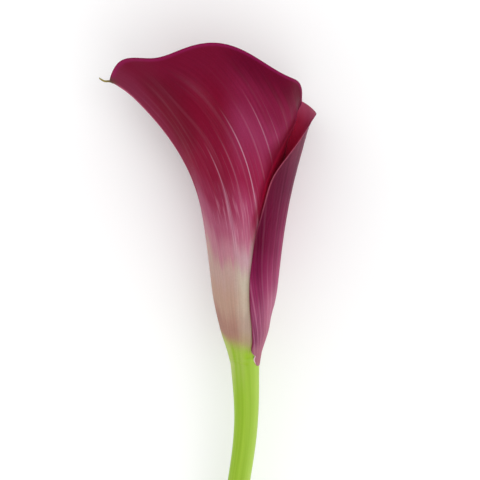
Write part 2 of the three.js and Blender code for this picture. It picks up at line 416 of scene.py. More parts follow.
    def fan_lane(self, angle: Array, share: Array) -> Array:
        """Return the lane of a flap rib, which leans over towards the foot."""
        return angle + self.fan * np.maximum(0, self.fan_from - share) ** 2

    def relief(self, angle: Array, share: Array) -> Array:
        """Work out the flap's low ribs and its loose lobe at the foot, and the dent low on the right.

        Args:
            angle: The points' angles, in degrees.
            share: Their shares of the way to the rim.

        Returns:
            Heights in millimetres.
        """
        strength = between(self.rib_faint, 1, within(self.rib_turn, -angle))
        ribs = self.rib_height * within(self.rib_along, share) * strength
        ribs = ribs * np.cos(2 * np.pi * self.fan_lane(angle, share) / self.rib_pitch)
        lobe = self.lobe_lift * (1 - within(self.lobe_along, share)) * within(self.lobe_turn, -angle)
        facing = within(self.dent_facing, np.cos(np.radians(angle - self.dent_angle)))
        return ribs + lobe - self.dent * facing * np.exp(-(((share - self.dent_share) / self.dent_run) ** 2))

    def outer(self, angle: Array, share: Array) -> Array:
        """Place points on the blade's outer face.

        Args:
            angle: Their angles, in degrees.
            share: Their shares of the way to the rim.

        Returns:
            Places in the flower's own frame, in millimetres.
        """
        y = self.height(angle, share)
        flare = np.maximum(0, (share - self.flare_from) / (1 - self.flare_from)) ** self.flare_power
        reach = self.rim_radius(angle) - self.lip_reach - self.tube_radius(self.rim_height(angle))
        radius = self.tube_radius(y) + reach * flare + self.lip_reach * self.lip(share)
        radius = radius - self.tuck_depth(angle, share) + self.relief(angle, share)
        return spoke(radius, np.radians(angle - 90), y)

    def to_margin(self, angle: Array, share: Array) -> Array:
        """Return how far a point is from the nearer side margin, in millimetres."""
        degrees = np.minimum(angle - self.flap_angle(share), self.tucked_angle(share) - angle)
        return np.radians(np.maximum(degrees, 0)) * self.tube_radius(self.height(angle, share))

    def thickness(self, angle: Array, share: Array) -> Array:
        """Work out the blade's thickness: it thins to its foot, its rim and its margins.

        Args:
            angle: The points' angles, in degrees.
            share: Their shares of the way to the rim.

        Returns:
            Thicknesses in millimetres.
        """
        lower = between(self.foot_wall, self.wall, within(self.foot_thickens, share))
        across = lower + (self.rim_wall - self.wall) * within(self.rim_thins, share)
        inwards = smoothstep(0, self.margin_run, self.to_margin(angle, share))
        return across * between(self.margin_wall, 1, inwards)


@dataclass(frozen=True)
class Value:
    """What a socket of a node tree gives: a number, a colour or a vector."""

    graph: "Graph"
    socket: bpy.types.NodeSocket

    def __add__(self, other: "Value | float") -> "Value":
        """Return the sum of two numbers."""
        return self.graph.math("ADD", self, other)

    def __sub__(self, other: "Value | float") -> "Value":
        """Return the difference of two numbers."""
        return self.graph.math("SUBTRACT", self, other)

    def __mul__(self, other: "Value | float") -> "Value":
        """Return the product of two numbers."""
        return self.graph.math("MULTIPLY", self, other)

    def __abs__(self) -> "Value":
        """Return a number without its sign."""
        return self.graph.math("ABSOLUTE", self)

    def highest(self, other: "Value | float") -> "Value":
        """Return the higher of two numbers."""
        return self.graph.math("MAXIMUM", self, other)

    def around_zero(self, reach: float) -> "Value":
        """Turn noise around one half into noise around zero, of a reach."""
        return self.graph.math("MULTIPLY_ADD", self, reach, -reach / 2)

    def rise(self, start: float, end: float) -> "Value":
        """Return 0 before start, 1 past end and a smooth way between. It falls where start is past end."""
        inputs = {"Value": self, "From Min": start, "From Max": end}
        return self.graph.value("MapRange", inputs, interpolation_type="SMOOTHSTEP")

    def within(self, span: Range) -> "Value":
        """Work out how far a number is within a range.

        Args:
            span: Two numbers to rise between, or four, to fall again between the last two.

        Returns:
            A number from 0 to 1.
        """
        if len(span) == 2:
            return self.rise(*span)
        low, full, still_full, high = span
        return self.rise(low, full) * self.rise(high, still_full)

    def mixed(self, other: "Value | Rgb", amount: "Value | float") -> "Value":
        """Return a colour with another laid over it by an amount."""
        return self.graph.mix(self, other, amount)

    def toned(self, noise: "Value", reach: float) -> "Value":
        """Return a colour made lighter and darker by noise around one half."""
        tone = self.graph.math("MULTIPLY_ADD", noise, reach, 1 - reach / 2)
        return self.graph.mix(self, self.graph.vector(tone, tone, tone), 1.0, "MULTIPLY")

    def patched(self, values: "Values", *patches: "Patch") -> "Value":
        """Lay patches over a colour.

        Args:
            values: The numbers that the patches' ranges are of, by name.
            *patches: The patches, the lowest first.

        Returns:
            The colour with the patches over it.
        """
        colour = self
        for patch in patches:
            colour = colour.mixed(patch.colour, patch.over(values))
        return colour


Amount = Value | float
Paint = Value | Rgb
Values = dict[str, Value]


def weighted(values: Sequence[Value], weights: Range) -> Value:
    """Return the sum of some numbers, each times its weight."""
    return reduce(add, (value * weight for value, weight in zip(values, weights, strict=True)))


class Mask:
    """Where something shows, and how strongly: where every one of its numbers is within its range."""

    def __init__(self, strength: float = 1.0, **ranges: Range) -> None:
        """Keep the strength, and each range under the name of the number that it is a range of."""
        self.strength = strength
        self.ranges = ranges

    def over(self, values: Values) -> Value:
        """Return how strongly it shows where the numbers have these values."""
        return reduce(mul, (values[name].within(span) for name, span in self.ranges.items())) * self.strength


class Patch(Mask):
    """A screen colour that lies over part of a surface."""

    def __init__(self, colour: Rgb, strength: float = 1.0, **ranges: Range) -> None:
        """Keep the colour, and the mask's strength and ranges."""
        super().__init__(strength, **ranges)
        self.colour = colour


class Graph:
    """Short calls that wire one node tree."""

    def __init__(self, tree: bpy.types.NodeTree) -> None:
        """Keep the tree that the calls work on."""
        self.tree = tree

    def node(
        self, kind: str, inputs: dict[int | str, object] | None = None, **settings: object
    ) -> bpy.types.Node:
        """Add a node.

        Args:
            kind: Its type, without the ShaderNode prefix.
            inputs: What its inputs take, by name or place.
            **settings: Its properties.

        Returns:
            The new node.
        """
        node = self.tree.nodes.new("ShaderNode" + kind)
        for key, value in settings.items():
            setattr(node, key, value)
        for key, value in (inputs or {}).items():
            if isinstance(value, Value):
                self.tree.links.new(value.socket, node.inputs[key])
            else:
                node.inputs[key].default_value = value
        return node

    def value(
        self, kind: str, inputs: dict[int | str, object] | None = None, output: int | str = 0,
        **settings: object,
    ) -> Value:
        """Add a node and return what one of its outputs gives."""
        return Value(self, self.node(kind, inputs, **settings).outputs[output])

    def math(self, operation: str, *values: Amount) -> Value:
        """Return the result of a math node."""
        return self.value("Math", dict(enumerate(values)), operation=operation)

    def mix(self, first: Paint, second: Paint, amount: Amount, blend: str = "MIX") -> Value:
        """Lay one colour over another.

        Args:
            first: The colour below.
            second: The colour above.
            amount: How much of the second shows, from 0 to 1.
            blend: How the second works on the first.

        Returns:
            The mixed colour.
        """
        below, above = (paint if isinstance(paint, Value) else linear(paint) for paint in (first, second))
        settings = {"data_type": "RGBA", "blend_type": blend, "clamp_factor": True}
        return self.value("Mix", {0: amount, 6: below, 7: above}, 2, **settings)

    def _ramp(self, value: Value, stops: Sequence[tuple[float, Rgba]]) -> bpy.types.Node:
        """Add a ramp.

        Args:
            value: The number that it turns into a colour.
            stops: Places and linear colours.

        Returns:
            The ramp's node.
        """
        node = self.node("ValToRGB", {0: value})
        elements = node.color_ramp.elements
        while len(elements) < len(stops):
            elements.new(1.0)
        for element, (place, colour) in zip(elements, sorted(stops)):
            element.position = place
            element.color = colour
        return node

    def ramp(self, value: Value, stops: Stops) -> Value:
        """Turn a number into a colour between screen colours.

        Args:
            value: The number.
            stops: Places and their colours.

        Returns:
            The colour.
        """
        node = self._ramp(value, [(place, linear(colour)) for place, colour in stops])
        node.color_ramp.interpolation = "EASE"
        return Value(self, node.outputs["Color"])

    def profile(self, value: Value, stops: Stations) -> Value:
        """Return the height of a straight-sided profile, whose stops are places and heights."""
        node = self._ramp(value, [(place, (height, height, height, 1.0)) for place, height in stops])
        return Value(self, node.outputs["Color"])

    def attributes(self, *names: str) -> Values:
        """Return numbers that are stored on the piece, by name."""
        return {name: self.value("Attribute", output="Fac", attribute_name=name) for name in names}

    def vector(self, *parts: Amount) -> Value:
        """Return a vector from three numbers."""
        return self.value("CombineXYZ", dict(enumerate(parts)))

    def noise(self, vector: Value, scale: float, detail: float) -> Value:
        """Return noise around one half."""
        return self.value("TexNoise", {"Vector": vector, "Scale": scale, "Detail": detail})

    def object_place(self) -> Value:
        """Return the place on the piece, in metres."""
        return self.value("TexCoord", output="Object")

    def group(self, tree: bpy.types.NodeTree, inputs: Values) -> Values:
        """Place a node group, wire its inputs and return what it gives, by name."""
        node = self.node("Group", inputs, node_tree=tree)
        return {socket.name: Value(self, socket) for socket in node.outputs}


class Effect:
    """A node group with named numbers in, and named numbers or colours out."""

    def __init__(self, name: str, *inputs: str) -> None:
        """Make the group with its inputs.

        Args:
            name: The group's name.
            *inputs: Names of the numbers that it takes.
        """
        self.tree = bpy.data.node_groups.new(name, "ShaderNodeTree")
        self.graph = Graph(self.tree)
        for socket in inputs:
            self.tree.interface.new_socket(socket, in_out="INPUT", socket_type="NodeSocketFloat")
        source = self.tree.nodes.new("NodeGroupInput")
        self.inputs = {socket: Value(self.graph, source.outputs[socket]) for socket in inputs}

    def give(self, **outputs: Value) -> bpy.types.NodeTree:
        """Add the outputs and wire them.

        Args:
            **outputs: What the group gives, by name.

        Returns:
            The finished group.
        """
        for name, value in outputs.items():
            kind = "NodeSocketColor" if value.socket.type == "RGBA" else "NodeSocketFloat"
            self.tree.interface.new_socket(name, in_out="OUTPUT", socket_type=kind)
        sink = self.tree.nodes.new("NodeGroupOutput")
        for name, value in outputs.items():
            self.tree.links.new(value.socket, sink.inputs[name])
        return self.tree


@dataclass(frozen=True)
class Grain:
    """Noise drawn out along a surface: its width, its changes along the surface, its detail and its layer."""

    width: float
    changes: float
    detail: float
    layer: float = 0.0

    def noise(self, across: Value, along: Value, layer: Value | None = None) -> Value:
        """Work out the noise.

        Args:
            across: Number that grows across the grain.
            along: Number that grows along it.
            layer: Takes the place of the grain's own layer.

        Returns:
            Noise around one half.
        """
        graph = across.graph
        parts = (across * (1 / self.width), along * self.changes, self.layer if layer is None else layer)
        return graph.noise(graph.vector(*parts), 1.0, self.detail)


@dataclass(frozen=True)
class Speckle:
    """Noise that is as fine whichever way it is seen: its scale for each metre, and its detail."""

    scale: float
    detail: float = 3.0

    def noise(self, graph: Graph) -> Value:
        """Return the noise, around one half."""
        return graph.noise(graph.object_place(), self.scale, self.detail)


@dataclass(frozen=True)
class Bumps:
    """Low bumps: how much of them shows, and how high they are in millimetres."""

    strength: float
    height: float

    def normal(self, relief: Value) -> Value:
        """Return the normal of a surface whose relief runs from 0 to 1."""
        inputs = {"Strength": self.strength, "Distance": self.height * MM, "Height": relief}
        return relief.graph.value("Bump", inputs)


@dataclass(frozen=True)
class Surface:
    """The gloss of a living skin."""

    roughness: float = 0.42
    specular: float = 0.12
    specular_tint: Rgba = (1.0, 1.0, 1.0, 1.0)
    sheen: float = 0.0
    sheen_roughness: float = 0.4
    sheen_tint: Rgba = (1.0, 1.0, 1.0, 1.0)
    subsurface: float = 0.0
    subsurface_scale: float = 1.2 * MM
    subsurface_radius: tuple[float, float, float] = (1.0, 0.35, 0.3)

    def dress(self, graph: Graph, colour: Value | Rgba, **sockets: Value) -> None:
        """Wire a skin to the material's output.

        Args:
            graph: The material's graph.
            colour: The skin's colour, or the linear colour that it has all over.
            **sockets: What else changes over it, by the name of the shader's socket.
        """
        inputs = {
            "Base Color": colour,
            "Roughness": self.roughness,
            "Specular IOR Level": self.specular,
            "Specular Tint": self.specular_tint,
            "Sheen Weight": self.sheen,
            "Sheen Roughness": self.sheen_roughness,
            "Sheen Tint": self.sheen_tint,
            "Subsurface Weight": self.subsurface,
            "Subsurface Scale": self.subsurface_scale,
            "Subsurface Radius": self.subsurface_radius,
        }
        shader = graph.value("BsdfPrincipled", inputs | sockets)
        graph.node("OutputMaterial", {0: shader})


def new_material(name: str) -> tuple[bpy.types.Material, Graph]:
    """Make an empty material.

    Args:
        name: Its name.

    Returns:
        The material, and the graph that wires it.
    """
    material = bpy.data.materials.new(name)
    material.use_nodes = True
    material.node_tree.nodes.clear()
    return material, Graph(material.node_tree)


@dataclass(frozen=True)
class Venation:
    """The blade's veins and streaks, shared by its finishes.

    A vein keeps one number all along, its lane: its angle from the midrib plus a term that grows towards the
    rim, where the veins bend over to the tip. Close to the midrib they run along it instead. Each shows only
    along a stretch, which lies higher for the veins that run further from the midrib. The main veins are
    listed with how strong they are, and each lies on a broad, faint streak.
    """

    bend: float = 132.0
    bend_power: float = 3.25
    straight_near: float = 15.0
    span: float = 320.0
    main: Stations = (
        (79.8, 0.6), (99.6, 0.3), (120.3, 1.0), (140.7, 0.4), (159.8, 0.55), (179.7, 0.25), (204.7, 0.15),
    )
    main_width: float = 0.85
    main_shown: Mask = Mask(away=(0.18, 0.04), fine=(0.2, 0.5), share=(0.93, 0.8))
    shown_at: float = 0.36
    shown_rise: float = 0.00225
    broad_width: float = 3.0
    broad_shown: Mask = Mask(0.9, share=(0.32, 0.41, 0.48, 0.6), fine=(0.35, 0.6))
    minor_pitch: float = 6.66
    minor_start: float = 0.12
    minor_shown: Mask = Mask(
        0.08, wave=(0.7, 0.0), dash=(0.42, 0.62), around=(25, 50), share=(0.3, 0.4, 0.6, 0.8)
    )
    streak: Grain = Grain(9, 1.6, 3)
    fine: Grain = Grain(2.2, 4, 3)
    dash: Grain = Grain(2.6, 11, 1)
    side_step: float = 5.0

    def group(self) -> bpy.types.NodeTree:
        """Build the node group.

        Returns:
            The group, which takes a spot's angle and share and gives its veins and its three kinds of noise.
        """
        effect = Effect("venation", "angle", "share")
        graph, angle, share = effect.graph, effect.inputs["angle"], effect.inputs["share"]
        around = abs(angle)
        bend = graph.math("POWER", share, self.bend_power) * self.bend
        lane = around + bend * graph.math("DIVIDE", around, around + self.straight_near)
        side = graph.math("SIGN", angle) * self.side_step
        streak, fine, dash = (grain.noise(lane, share, side) for grain in (self.streak, self.fine, self.dash))
        away = abs(share - (lane * self.shown_rise + self.shown_at))
        wave = graph.math("PINGPONG", lane + self.minor_start, self.minor_pitch / 2)
        values = {"around": around, "share": share, "fine": fine, "dash": dash, "away": away, "wave": wave}
        place = lane * (1 / self.span)
        main = graph.profile(place, self._peaks(self.main_width)) * self.main_shown.over(values)
        broad = graph.profile(place, self._peaks(self.broad_width)) * self.broad_shown.over(values)
        vein = main.highest(broad).highest(self.minor_shown.over(values))
        return effect.give(vein=vein, streak=streak, fine=fine, dash=dash)

    def _peaks(self, half_width: float) -> Stations:
        """Draw a profile with one peak at each main vein.

        Args:
            half_width: How far each peak reaches to either side, in degrees.

        Returns:
            The profile's stops.
        """
        return tuple(
            ((place + side * half_width) / self.span, height * (1 - abs(side)))
            for place, height in self.main
            for side in (-1, 0, 1)
        )


@dataclass(frozen=True)
class GreenSkin:
    """The fresh green of the stem, which runs on into the spathe's foot.

    Each of its three kinds of noise is set by a scale round the stem, a scale along it and a detail.
    """

    dark: Rgb = (134, 168, 40)
    light: Rgb = (152, 184, 58)
    lighter: Range = (0.33, 0.68)
    # Lighter towards the right: mostly painted light, partly the stem's paler skin.
    right: Patch = Patch((170, 200, 88), 0.7, across=(0.1, 0.9))
    pale: Patch = Patch((176, 182, 116), 0.6, height=(-14, 3), across=(0.2, -0.5), broad=(0.25, 0.55))
    broad: Range = (1.7, 0.012, 1.0)
    streak: Range = (5.0, 0.02, 2.0)
    fine: Range = (16.0, 0.05, 2.0)
    tone_of_each: Range = (0.5, 0.35, 0.15)
    relief_of_streak_and_fine: Range = (0.6, 0.4)

    def group(self) -> bpy.types.NodeTree:
        """Build the node group.

        Returns:
            The group, which takes where a spot is round and along the stem and gives its colour and relief.
        """
        effect = Effect("green_skin", "across", "upward", "height")
        graph = effect.graph
        across, upward, height = effect.inputs.values()

        def stretched(round_it: float, along: float, detail: float) -> Value:
            """Return noise stretched along the stem."""
            place = graph.vector(across * round_it, upward * round_it, height * along)
            return graph.noise(place, 1.0, detail)

        broad, streak, fine = (stretched(*grain) for grain in (self.broad, self.streak, self.fine))
        tone = weighted((broad, streak, fine), self.tone_of_each)
        colour = graph.mix(self.dark, self.light, tone.within(self.lighter))
        colour = colour.patched(effect.inputs | {"broad": broad}, self.right, self.pale)
        return effect.give(colour=colour, relief=weighted((streak, fine), self.relief_of_streak_and_fine))


@dataclass(frozen=True)
class Groups:
    """The node groups that more than one finish uses."""

    venation: bpy.types.NodeTree
    green_skin: bpy.types.NodeTree

    @classmethod
    def build(cls) -> "Groups":
        """Build them all."""
        return cls(Venation().group(), GreenSkin().group())

    def of_blade(self, graph: Graph, *names: str) -> Values:
        """Gather the numbers that a spot of the blade has.

        Args:
            graph: The graph of a finish.
            *names: Which stored numbers it needs beside the angle and the share.

        Returns:
            The stored numbers, the angle without its sign, and the veins and noise, by name.
        """
        stored = graph.attributes("angle", "share", *names)
        veins = graph.group(self.venation, {name: stored[name] for name in ("angle", "share")})
        return stored | veins | {"around": abs(stored["angle"])}

    def green(self, graph: Graph) -> Values:
        """Return the green skin's colour and relief."""
        return graph.group(self.green_skin, graph.attributes("across", "upward", "height"))


@dataclass(frozen=True)
class BladeFinish:
    """The colours of the spathe's outside, from its foot up.

    Masks and patches lie over ranges of these numbers: a spot's angle from the midrib, the same without its
    sign, called around, its share of the way to the rim, its distance from the blade's side margins, how far
    it is in the flap's shade, and the noise of the venation.
    """

    groups: Groups
    front: Stops = (
        (0.0, (160, 149, 92)), (0.06, (158, 132, 99)), (0.1, (155, 117, 105)), (0.18, (169, 138, 122)),
        (0.28, (172, 142, 134)), (0.34, (167, 112, 125)), (0.42, (151, 77, 101)), (0.5, (130, 40, 67)),
        (0.6, (122, 22, 49)), (0.8, (112, 14, 40)), (0.94, (106, 16, 43)),
    )
    right: Stops = (
        (0.0, (160, 158, 93)), (0.07, (163, 142, 113)), (0.13, (169, 145, 131)), (0.2, (181, 163, 146)),
        (0.27, (183, 170, 153)), (0.34, (180, 143, 150)), (0.42, (163, 86, 111)), (0.5, (153, 59, 92)),
        (0.6, (138, 32, 65)), (0.76, (136, 43, 78)), (0.86, (119, 26, 58)), (0.96, (94, 11, 38)),
    )
    to_right: Range = (66, 90)
    lower_zones_shift: Mask = Mask(-0.05, share=(0.08, 0.16, 0.28, 0.42), around=(52, 20))
    upper_zones_shift: Mask = Mask(-0.11, share=(0.28, 0.42, 0.58, 0.76), around=(52, 20))
    streaks_shift: float = 0.1
    dashes_shift: float = 0.03
    uneven_from: Range = (0.03, 0.2)
    dusk: Patch = Patch((84, 14, 28), 0.35, around=(4, 16, 32, 50), share=(0.64, 0.76, 0.9, 0.97))
    stroke: Patch = Patch(
        (206, 146, 168), 0.32, share=(0.33, 0.41, 0.48, 0.59), dash=(0.5, 0.75), around=(30, 55)
    )
    silk: Patch = Patch((206, 146, 168), 0.05, share=(0.5, 0.6, 0.85, 0.98), streak=(0.45, 0.75))
    vein: Rgb = (212, 172, 192)
    vein_strength: float = 0.85
    # Paler beside the midrib: partly the skin's own paler tone, partly painted sheen along the left edge.
    sheen_beside_keel: Patch = Patch((132, 62, 88), 0.3, around=(15, 3), share=(0.5, 0.72))
    keel: Patch = Patch((196, 104, 132), 0.6, around=(2.4, 0.6), share=(0.1, 0.7))
    green_ends: Range = (0.085, 0.03)
    green_lower_on_left: Mask = Mask(-0.03, around=(58, 0))
    fine_ragged: float = 0.03
    dashes_ragged: float = 0.02
    # Painted shadow on the body beside the flap's margin, low on the funnel.
    painted_flap_shadow: Patch = Patch((128, 106, 84), 0.4, shade=(-0.85, 0.0), share=(0.04, 0.1, 0.4, 0.5))
    low_shade: Rgb = (116, 8, 38)
    high_shade: Patch = Patch((100, 4, 26), share=(0.58, 0.76))
    lit_through: Patch = Patch((182, 12, 50), 0.75, shade=(-0.6, -0.1), share=(0.5, 0.6))
    shade_shown: Mask = Mask(0.85, shade=(-1.65, -0.65), share=(0.39, 0.52, 0.86, 0.94))
    flap: Stops = (
        (0.0, (156, 105, 112)), (0.06, (149, 94, 110)), (0.1, (124, 56, 87)), (0.2, (137, 63, 95)),
        (0.3, (127, 39, 78)), (0.4, (110, 21, 60)), (0.5, (93, 12, 44)), (0.8, (91, 21, 45)),
        (1.0, (112, 20, 44)),
    )
    # Paler and greyer towards the flap's right side: partly painted sheen, partly the flap's own paler
    # colour.
    flap_sheen_side: Stops = (
        (0.0, (163, 107, 118)), (0.1, (158, 96, 115)), (0.26, (168, 101, 125)), (0.34, (152, 70, 103)),
        (0.48, (132, 50, 84)), (0.6, (115, 38, 69)), (0.72, (99, 36, 61)), (0.9, (107, 53, 70)),
    )
    to_flap_sheen_side: Range = (-249, -197)
    to_flap: Range = (-150, -186)
    flap_uneven: float = 0.05
    rib: Rgb = (214, 156, 180)
    rib_waves: Stations = ((2, 0.1, 1.0), (4, 0.2, 0.5))
    rib_grain: Grain = Grain(10, 2.5, 1, layer=1)
    rib_shown: Mask = Mask(patchy=(0.2, 0.6), share=(0.03, 0.1, 0.5, 0.85))
    rib_stronger: Mask = Mask(0.115, share=(0.42, 0.22))
    rib_faint: float = 0.035
    stripe_grain: Grain = Grain(6.25, 0.8, 2, layer=4)
    stripe_edge: Range = (0.3, 0.7)
    stripe_tone: float = 0.35
    # Painted highlight along the flap's upper margin.
    margin_highlight: Patch = Patch((172, 88, 108), 0.5, margin=(0.6, 0.1), share=(0.5, 0.7))
    # Painted shade along the flap's margin low down, where it lies over the body.
    margin_shade: Patch = Patch((104, 30, 54), 0.75, margin=(0.55, 0.15), share=(0.05, 0.065, 0.26, 0.4))
    # Painted highlight at the small notch near the flap's foot.
    notch_highlight: Patch = Patch((232, 214, 206), 0.8, margin=(0.5, 0.1), share=(0.005, 0.018, 0.036, 0.048))
    rim: Patch = Patch((140, 30, 84), 0.55, share=(0.986, 0.997))
    tip: Patch = Patch((84, 56, 46), around=(5, 1), share=(0.97, 1.0))
    skin: Speckle = Speckle(1500)
    fine_tone: float = 0.42
    skin_tone: float = 0.16
    relief_of_fine_skin_and_veins: Range = (0.5, 0.3, 0.5)
    bumps: Bumps = Bumps(0.35, 0.25)
    least_roughness: float = 0.34
    roughness_varies: float = 0.16
    surface: Surface = Surface(
        specular=0.015, specular_tint=(1.0, 0.4, 0.65, 1.0),
        sheen=0.04, sheen_roughness=0.25, sheen_tint=(1.0, 0.5, 0.85, 1.0), subsurface=0.2,
    )

    def _funnel(self, graph: Graph, values: Values) -> Value:
        """Colour the funnel, whose zones reach further down in front than on the left.

        Args:
            graph: The material's graph.
            values: The spot's numbers, by name.

        Returns:
            The funnel's colour, with its veins, its keel and the painted sheen beside the keel.
        """
        share = values["share"]
        shift = self.lower_zones_shift.over(values) + self.upper_zones_shift.over(values)
        uneven = values["streak"].around_zero(self.streaks_shift)
        uneven = uneven + values["dash"].around_zero(self.dashes_shift)
        place = share + shift + uneven * share.within(self.uneven_from)
        front, right = graph.ramp(place, self.front), graph.ramp(place, self.right)
        colour = front.mixed(right, values["around"].within(self.to_right))
        colour = colour.patched(values, self.dusk, self.stroke, self.silk)
        colour = colour.mixed(self.vein, values["vein"] * self.vein_strength)
        return colour.patched(values, self.sheen_beside_keel, self.keel)

    def _grounded(self, graph: Graph, funnel: Value, values: Values) -> Value:
        """Run the funnel into the green of the stem, and shade it beside the flap.

        Args:
            graph: The material's graph.
            funnel: The funnel's colour.
            values: The spot's numbers, by name.

        Returns:
            The funnel's colour with its green foot and the flap's shade.
        """
        ragged = values["fine"].around_zero(self.fine_ragged) + values["dash"].around_zero(self.dashes_ragged)
        place = values["share"] + ragged + self.green_lower_on_left.over(values)
        colour = funnel.mixed(self.groups.green(graph)["colour"], place.within(self.green_ends))
        colour = colour.patched(values, self.painted_flap_shadow)
        shade = graph.mix(self.low_shade, self.high_shade.colour, self.high_shade.over(values))
        return colour.mixed(shade.patched(values, self.lit_through), self.shade_shown.over(values))

    def _flap(self, graph: Graph, values: Values) -> Value:
        """Colour the flap, with its fine ribs, a painted sheen towards its right side, and painted highlights
        and shade along its margin.

        Args:
            graph: The material's graph.
            values: The spot's numbers, by name.

        Returns:
            The flap's colour.
        """
        angle, share = values["angle"], values["share"]
        place = share + values["fine"].around_zero(self.flap_uneven)
        colour = graph.ramp(place, self.flap)
        colour = colour.mixed(graph.ramp(place, self.flap_sheen_side), angle.within(self.to_flap_sheen_side))
        below = graph.math("SUBTRACT", Blade.fan_from, share).highest(0.0)
        lane = angle + below * below * Blade.fan

        def crests(turns: float, start: float, strength: float) -> Value:
            """Return the crests of waves that run across the lanes."""
            wave = graph.math("COSINE", lane * (turns * math.pi / Blade.rib_pitch))
            return wave.rise(start, 1.0) * strength

        wide, narrow = (crests(*wave) for wave in self.rib_waves)
        shown = self.rib_shown.over(values | {"patchy": self.rib_grain.noise(lane, share)})
        amount = self.rib_stronger.over(values) + self.rib_faint
        colour = colour.mixed(self.rib, (wide + narrow) * shown * amount)
        stripes = self.stripe_grain.noise(lane, share).within(self.stripe_edge)
        return colour.toned(stripes, self.stripe_tone).patched(values, self.margin_highlight, self.margin_shade, self.notch_highlight)

    def material(self) -> bpy.types.Material:
        """Build the material.

        Returns:
            The material of the blade's outer face.
        """
        material, graph = new_material("spathe_outside")
        values = self.groups.of_blade(graph, "shade", "margin")
        colour = self._grounded(graph, self._funnel(graph, values), values)
        colour = colour.mixed(self._flap(graph, values), values["angle"].within(self.to_flap))
        fine, skin = values["fine"], self.skin.noise(graph)
        colour = colour.toned(fine, self.fine_tone).toned(skin, self.skin_tone)
        line = values["vein"] * self.vein_strength
        normal = self.bumps.normal(weighted((fine, skin, line), self.relief_of_fine_skin_and_veins))
        roughness = fine * self.roughness_varies + self.least_roughness
        colour = colour.patched(values, self.rim, self.tip)
        self.surface.dress(graph, colour, Normal=normal, Roughness=roughness)
        return material


@dataclass(frozen=True)
class LiningFinish:
    """The colours of the spathe's inside, from its foot up."""

    groups: Groups
    # Darkest through the middle of the funnel, deep inside: partly the inside's own deeper red, partly
    # painted shade.
    depth: Stops = (
        (0.0, (150, 160, 80)), (0.08, (140, 100, 70)), (0.18, (120, 30, 50)), (0.4, (110, 6, 30)),
        (0.72, (102, 3, 25)), (0.84, (122, 12, 38)), (0.93, (154, 43, 75)), (1.0, (163, 60, 93)),
    )
    streaks_shift: float = 0.1
    fine_tone: float = 0.35
    vein: Rgb = (190, 80, 110)
    vein_strength: float = 0.3
    glow: Patch = Patch((184, 22, 60), 0.5, angle=(-185, -148, -125, -80), share=(0.72, 0.87, 0.9, 1.0))
    skin: Speckle = Speckle(1500)
    relief_of_fine_skin_and_veins: Range = (0.6, 0.3, 0.4)
    bumps: Bumps = Bumps(0.35, 0.25)
    surface: Surface = Surface(specular=0.08, specular_tint=(1.0, 0.4, 0.6, 1.0), subsurface=0.2)

    def material(self) -> bpy.types.Material:
        """Build the material.

        Returns:
            The material of the blade's inner face.
        """
        material, graph = new_material("spathe_inside")
        values = self.groups.of_blade(graph)
        fine, line = values["fine"], values["vein"] * self.vein_strength
        place = values["share"] + values["streak"].around_zero(self.streaks_shift)
        colour = graph.ramp(place, self.depth).toned(fine, self.fine_tone)
        colour = colour.mixed(self.vein, line).patched(values, self.glow)
        relief = weighted((fine, self.skin.noise(graph), line), self.relief_of_fine_skin_and_veins)
        self.surface.dress(graph, colour, Normal=self.bumps.normal(relief))
        return material


@dataclass(frozen=True)
class EdgeFinish:
    """The thin edge of the blade, from its foot up."""

    # Along the flap's margin, the white stop near the foot is a painted highlight at the notch, the dark
    # stops just above it are painted shade where the flap lies over the body, and the paler stops higher up
    # are a painted highlight along the margin.
    along: Stops = (
        (0.0, (146, 176, 62)), (0.012, (170, 180, 110)), (0.03, (232, 216, 208)), (0.044, (214, 180, 184)),
        (0.07, (122, 50, 74)), (0.3, (122, 44, 72)), (0.55, (130, 34, 66)), (0.7, (160, 76, 96)),
        (0.9, (154, 60, 84)), (0.975, (120, 22, 62)), (1.0, (110, 18, 58)),
    )
    grain: Speckle = Speckle(900, 2)
    uneven: float = 0.05
    bumps: Bumps = Bumps(0.2, 0.1)
    surface: Surface = Surface(specular=0.0, subsurface=0.1)

    def material(self) -> bpy.types.Material:
        """Build the material.

        Returns:
            The material of the blade's edge.
        """
        material, graph = new_material("spathe_edge")
        grain = self.grain.noise(graph)
        place = graph.attributes("share")["share"] + grain.around_zero(self.uneven)
        self.surface.dress(graph, graph.ramp(place, self.along), Normal=self.bumps.normal(grain))
        return material


